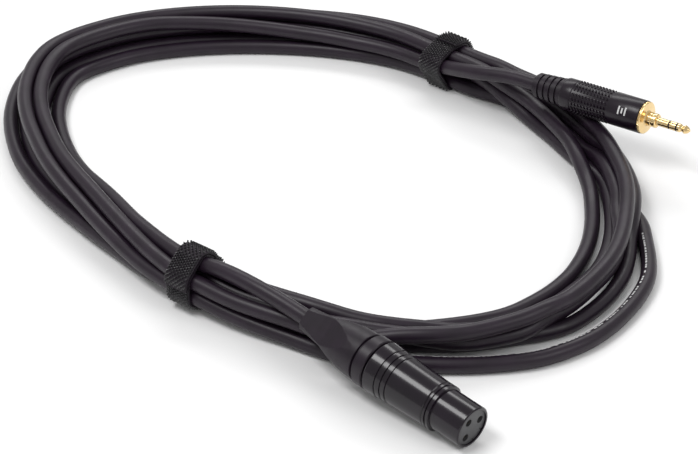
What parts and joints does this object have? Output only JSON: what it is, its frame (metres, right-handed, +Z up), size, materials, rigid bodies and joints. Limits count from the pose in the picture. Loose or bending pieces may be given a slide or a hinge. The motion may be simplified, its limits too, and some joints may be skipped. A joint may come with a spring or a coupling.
{
  "type": "coiled audio cable",
  "caption": "Coiled black audio cable with a female three-pin connector and a gold 3.5 mm plug, held by two hook-and-loop straps.",
  "frame": {"origin": "on the floor under the middle of the whole object", "axes": "+X along the coil towards the 3.5 mm plug, +Y to the far side of the coil, +Z up"},
  "size_m": [0.2769, 0.3093, 0.0306],
  "materials": {
    "black_lacquer": "gloss",
    "grey_insert": "satin",
    "gold": "polished",
    "steel": "satin",
    "black_plastic": "satin",
    "boot_rubber": "satin",
    "satin_black_metal": "satin",
    "cable_jacket": "satin",
    "strap_fabric": "woven",
    "wire_red": "satin",
    "wire_white": "satin",
    "wire_shield": "bare"
  },
  "bodies": {
    "cable_assembly": {"xlr_shell": "black_lacquer", "xlr_contact_insert": "grey_insert", "xlr_contact_1": "gold", "xlr_contact_2": "gold", "xlr_contact_3": "gold", "xlr_latch_pin": "steel", "xlr_wire_1": "wire_shield", "xlr_wire_2": "wire_red", "xlr_wire_3": "wire_white", "jack_tip_contact": "gold", "jack_ring_contact": "gold", "jack_sleeve_contact": "gold", "jack_tip_insulator": "black_plastic", "jack_ring_insulator": "black_plastic", "jack_cable_clamp": "gold", "jack_wire_tip": "wire_red", "jack_wire_ring": "wire_white", "jack_wire_shield": "wire_shield", "cable_xlr_lead": "cable_jacket", "cable_jack_lead": "cable_jacket", "cable_coil": "cable_jacket", "strap_back": "strap_fabric", "strap_side": "strap_fabric"},
    "xlr_latch": {"xlr_latch_lever": "black_lacquer", "xlr_latch_spring": "steel"},
    "xlr_chuck": {"xlr_cable_chuck": "black_plastic"},
    "xlr_bushing_and_boot": {"xlr_bushing": "black_plastic", "xlr_boot": "boot_rubber"},
    "jack_liner_tube": {"jack_liner": "black_plastic"},
    "jack_barrel_and_boot": {"jack_barrel": "satin_black_metal", "jack_boot": "boot_rubber"}
  },
  "joints": [
    {"name": "xlr_latch_press", "type": "hinge", "parent": "cable_assembly", "child": "xlr_latch", "pos_m": [0.02594, -0.12456, 0.00624], "axis": [-0.6145, -0.5635, -0.5522], "range_deg": [0, 2.5], "stiffness_Nm_per_rad": 0.2, "springref_deg": -1.72},
    {"name": "xlr_chuck_slide", "type": "slide", "parent": "cable_assembly", "child": "xlr_chuck", "axis": [-0.723, 0.6822, 0.1084], "range_m": [0, 0.0045]},
    {"name": "xlr_bushing_turn", "type": "hinge", "parent": "xlr_chuck", "child": "xlr_bushing_and_boot", "pos_m": [0.01386, -0.1179, 0.01288], "axis": [-0.723, 0.6822, 0.1084], "range_deg": [0, 1080]},
    {"name": "jack_liner_slide", "type": "slide", "parent": "cable_assembly", "child": "jack_liner_tube", "axis": [-0.8043, 0.5932, -0.0347], "range_m": [0, 0.00375]},
    {"name": "jack_barrel_turn", "type": "hinge", "parent": "jack_liner_tube", "child": "jack_barrel_and_boot", "pos_m": [0.10693, 0.05023, 0.02311], "axis": [-0.8043, 0.5932, -0.0347], "range_deg": [0, 1800]}
  ],
  "couplings": [
    {"joint": "xlr_chuck_slide", "follows": "xlr_bushing_turn", "m_per_rad": 0.00023873},
    {"joint": "jack_liner_slide", "follows": "jack_barrel_turn", "m_per_rad": 0.00011937}
  ]
}
